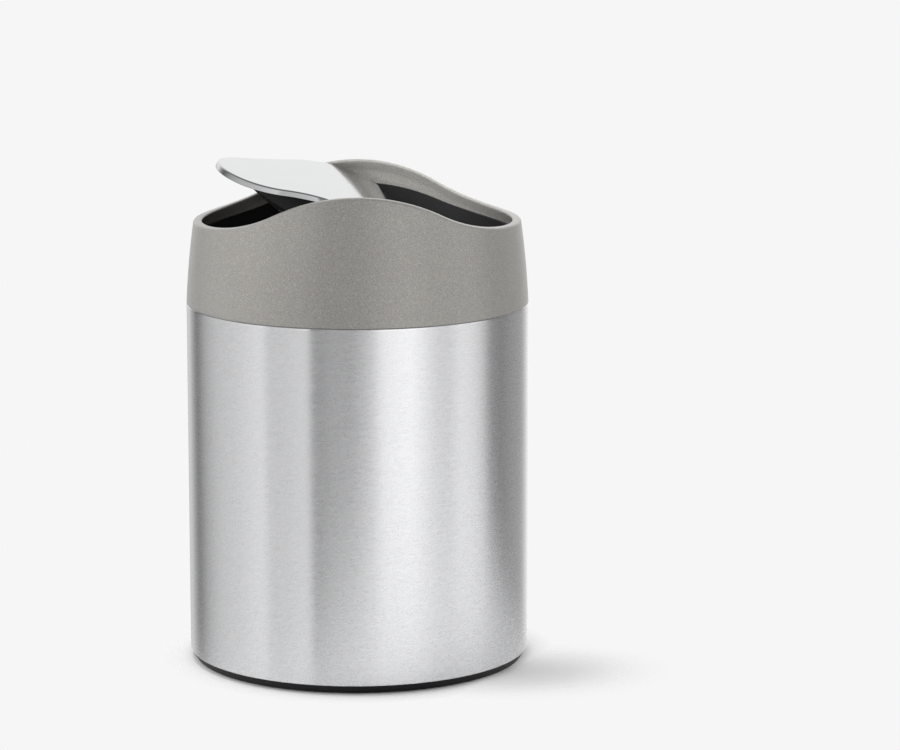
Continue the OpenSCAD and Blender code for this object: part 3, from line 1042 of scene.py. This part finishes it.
# %% The flap's cover
COVER_TOP_ROUND = 0.55
COVER_TOP_STEPS = 5
COVER_LOW_ROUND = 0.35
COVER_LOW_STEPS = 4
EDGE_BEVEL = 0.2
UNDER_BEVEL = 0.3
NOTCH_LIP = 0.04
NOTCH_SLOPE = 0.5
TOP_RINGS = 48


def notch_share(x):
    """0 in the notches, 1 where the edge has its full height."""
    share = min(1, max(0, (abs(x) - edge_notch + NOTCH_SLOPE / 2) / NOTCH_SLOPE))
    return share * share * (3 - 2 * share)


def tilted(x, y, z):
    """A point of the closed flap, turned to the tilt at which the flap is drawn."""
    up = z - pivot_z
    turned_x = x * math.cos(rest_tilt) + up * math.sin(rest_tilt)
    turned_z = up * math.cos(rest_tilt) - x * math.sin(rest_tilt)
    return turned_x, y, pivot_z + turned_z


def cover_outline(share):
    """Open outline (radius, depth below the wave), from the middle of the top round to underneath."""
    deep = cover_t + NOTCH_LIP + (edge_h - cover_t - NOTCH_LIP) * share
    points = [((flap_r - COVER_TOP_ROUND) * k / TOP_RINGS, 0) for k in range(TOP_RINGS + 1)]
    for turn in quarter_round(COVER_TOP_STEPS)[1:]:
        r = flap_r - COVER_TOP_ROUND * (1 - math.sin(turn))
        points.append((r, COVER_TOP_ROUND * (1 - math.cos(turn))))
    for turn in quarter_round(COVER_LOW_STEPS):
        r = flap_r - COVER_LOW_ROUND * (1 - math.cos(turn))
        points.append((r, deep - COVER_LOW_ROUND * (1 - math.sin(turn))))
    inner_r = flap_r - cover_t
    points.append((inner_r + EDGE_BEVEL, deep))
    points.append((inner_r, deep - NOTCH_LIP / 2 - EDGE_BEVEL * share))
    points.append((inner_r, cover_t + NOTCH_LIP / 4 + EDGE_BEVEL * share))
    under_r = inner_r - UNDER_BEVEL
    points += [(under_r * (TOP_RINGS - k) / TOP_RINGS, cover_t) for k in range(TOP_RINGS + 1)]
    return points


def cover_section(angle):
    """Open section of the cover in one direction, laid on the wave and tilted."""
    section = []
    for r, below in cover_outline(notch_share(outward(flap_r, angle)[0])):
        x, y = outward(r, angle)
        section.append(tilted(x, y, flap_at(x) - below))
    return section


# %% [markdown]
# The ends of the notches need a few more sections than the rest, so that their slope is drawn by
# enough points. Each notch has two ends, and there is one notch in front and one behind.

# %% The cover with its notches
NOTCH_STEP = 0.0015
notch_turn = math.asin(edge_notch / flap_r)
notch_angles = [
    (middle + way * (notch_turn + k * NOTCH_STEP)) % math.tau
    for middle in (0, math.pi)
    for way in (-1, 1)
    for k in (-4, -2, -1, 0, 1, 2, 4)
]
cover_mesh = bmesh.new()
skin(cover_mesh, [cover_section(angle) for angle in angles_with(notch_angles)], closed=False)
print("points in the cover:", len(cover_mesh.verts))

# %% [markdown]
# Four posts under the cover take the tray's screws. Their upper ends follow the underside of the wave,
# and a blind hole goes up into each from its foot.

# %% The cover's posts
POST_RISE = 7.7
POST_HOLE = 4.4
POST_SIDES = 32
post_at = flap_turn - 3.5
post_low = flap_z - flap_depth + POST_RISE
hole_end = post_low + POST_HOLE
post_outline = [(0, hole_end), (HOLE_R, hole_end), (HOLE_R, post_low), (BOSS_R, post_low)]


def post_section(turn, middle_x, middle_y):
    """Open section of a post: the hole, the foot and the side, and then the top in the sheet."""
    section = []
    for r, z in [*post_outline, (BOSS_R, None), (0, None)]:
        x, y = outward(r, turn)
        x, y = x + middle_x, y + middle_y
        in_sheet = flap_at(x) - cover_t / 2
        section.append(tilted(x, y, in_sheet if z is None else z))
    return section


for x_way in (-1, 1):
    for y_way in (-1, 1):
        middle = (x_way * post_at, y_way * post_at)
        skin(cover_mesh, [post_section(turn, *middle) for turn in evenly(POST_SIDES)], closed=False)
make_piece("polished_flap_cover", cover_mesh, "polished_cover", "flap", "flap_cover")

# %% The view transform
bpy.context.scene.view_settings.view_transform = "Standard"
